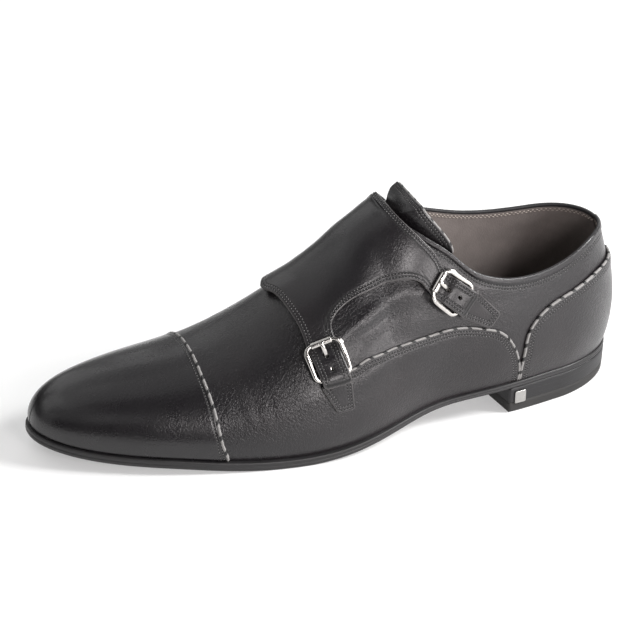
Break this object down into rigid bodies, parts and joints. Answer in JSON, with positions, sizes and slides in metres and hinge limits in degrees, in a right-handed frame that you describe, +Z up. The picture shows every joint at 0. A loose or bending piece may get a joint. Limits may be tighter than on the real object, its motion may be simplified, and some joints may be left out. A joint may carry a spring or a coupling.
{
  "type": "monk strap shoe",
  "caption": "Left cap-toe dress shoe with an instep flap whose two straps close in buckles on the outer side, thin sole and low block heel.",
  "frame": {"origin": "centre of the box on the floor plane the shoe stands on", "axes": "-X to the toe, +X to the heel; -Y the outer (lateral) side with the buckles, +Y the inner side; +Z up"},
  "size_m": [0.3118, 0.0976, 0.1145],
  "materials": {
    "black_calf": "smooth polished calf",
    "taupe_lining": "matte lining leather",
    "sole_black": "painted sole edge",
    "heel_black": "satin",
    "polished_nickel": "polished"
  },
  "bodies": {
    "root": {"outsole": "sole_black", "heel_block": "heel_black", "heel_badge": "polished_nickel", "insole": "taupe_lining", "upper": "black_calf", "toe_cap": "black_calf", "heel_counter": "black_calf", "tongue": "black_calf", "monk_flap": "black_calf", "buckle_frame_upper": "polished_nickel", "buckle_roller_upper": "polished_nickel", "buckle_prong_upper": "polished_nickel", "buckle_tab_upper": "black_calf", "buckle_frame_lower": "polished_nickel", "buckle_roller_lower": "polished_nickel", "buckle_prong_lower": "polished_nickel", "buckle_tab_lower": "black_calf"}
  },
  "joints": []
}
